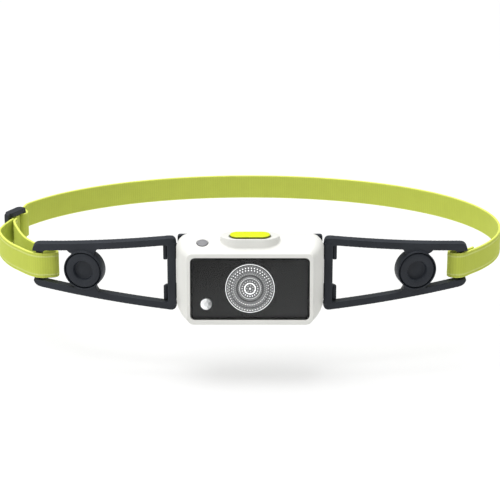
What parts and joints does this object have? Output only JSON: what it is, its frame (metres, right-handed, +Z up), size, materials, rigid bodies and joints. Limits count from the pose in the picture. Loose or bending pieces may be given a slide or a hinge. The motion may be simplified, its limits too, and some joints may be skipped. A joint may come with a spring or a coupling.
{
  "type": "headlamp",
  "caption": "Running headlamp with a tilting lamp head, hinged side arms and an adjustable elastic headband.",
  "frame": {"origin": "middle of the pad face that rests on the forehead", "axes": "+Z up, +X to the right of someone who looks at the lamp, the lamp faces -Y and the head is towards +Y"},
  "size_m": [0.2297, 0.1501, 0.0405],
  "materials": {
    "shell": "fine moulded texture, satin",
    "navy": "soft-touch dark navy",
    "charcoal": "matt charcoal",
    "seal": "black",
    "window": "clear polished",
    "optic": "clear, facetted",
    "webbing": "woven lime elastic",
    "button": "satin lime",
    "grey_lens": "grey",
    "steel": "bright",
    "board": "green solder mask",
    "led": "yellow phosphor",
    "cell": "foil",
    "foam": "dark foam pad"
  },
  "bodies": {
    "bracket": {"base_bracket": "navy", "tilt_pin": "steel", "forehead_pad": "foam", "headband_rear": "webbing"},
    "lamp": {"front_shell": "shell", "rear_cover": "navy", "housing_screw_1": "steel", "housing_screw_2": "steel", "housing_screw_3": "steel", "housing_screw_4": "steel", "window_panel": "window", "window_gasket": "seal", "inner_bezel": "charcoal", "main_lens": "optic", "optic_holder": "seal", "small_lens": "optic", "led_board": "board", "main_led": "led", "small_led": "led", "battery_cell": "cell", "control_board": "board", "tact_switch": "seal", "indicator_led": "led", "sensor_window": "grey_lens", "usb_socket": "steel"},
    "button": {"button_cap": "button"},
    "port_flap": {"port_cover": "navy"},
    "arm_left": {"arm_left": "navy", "disc_cap_left": "navy", "strap_loop_left": "webbing"},
    "arm_right": {"arm_right": "navy", "disc_cap_right": "navy", "strap_loop_right": "webbing"},
    "slider": {"strap_slider": "navy", "slider_run": "webbing", "strap_end_loop": "webbing"}
  },
  "joints": [
    {"name": "lamp_tilt", "type": "hinge", "parent": "bracket", "child": "lamp", "pos_m": [0, -0.008, -0.0178], "axis": [1, 0, 0], "range_deg": [0, 60]},
    {"name": "button_press", "type": "slide", "parent": "lamp", "child": "button", "axis": [0, 0, -1], "range_m": [0, 0.0008], "stiffness_N_per_m": 900, "springref_m": -0.0004},
    {"name": "port_flap_hinge", "type": "hinge", "parent": "lamp", "child": "port_flap", "pos_m": [0.0165, -0.0189, -0.017], "axis": [1, 0, 0], "range_deg": [0, 100]},
    {"name": "arm_left_swing", "type": "hinge", "parent": "bracket", "child": "arm_left", "pos_m": [-0.034, -0.008, 0], "axis": [0, 0, -1], "range_deg": [-8, 25], "deforming": ["headband_rear"]},
    {"name": "arm_right_swing", "type": "hinge", "parent": "bracket", "child": "arm_right", "pos_m": [0.034, -0.008, 0], "axis": [0, 0, 1], "range_deg": [-8, 25], "deforming": ["headband_rear"]},
    {"name": "slider_slide", "type": "slide", "parent": "arm_left", "child": "slider", "axis": [0.151, 0.9885, 0], "range_m": [0, 0.012], "deforming": ["headband_rear", "strap_loop_left"]}
  ]
}
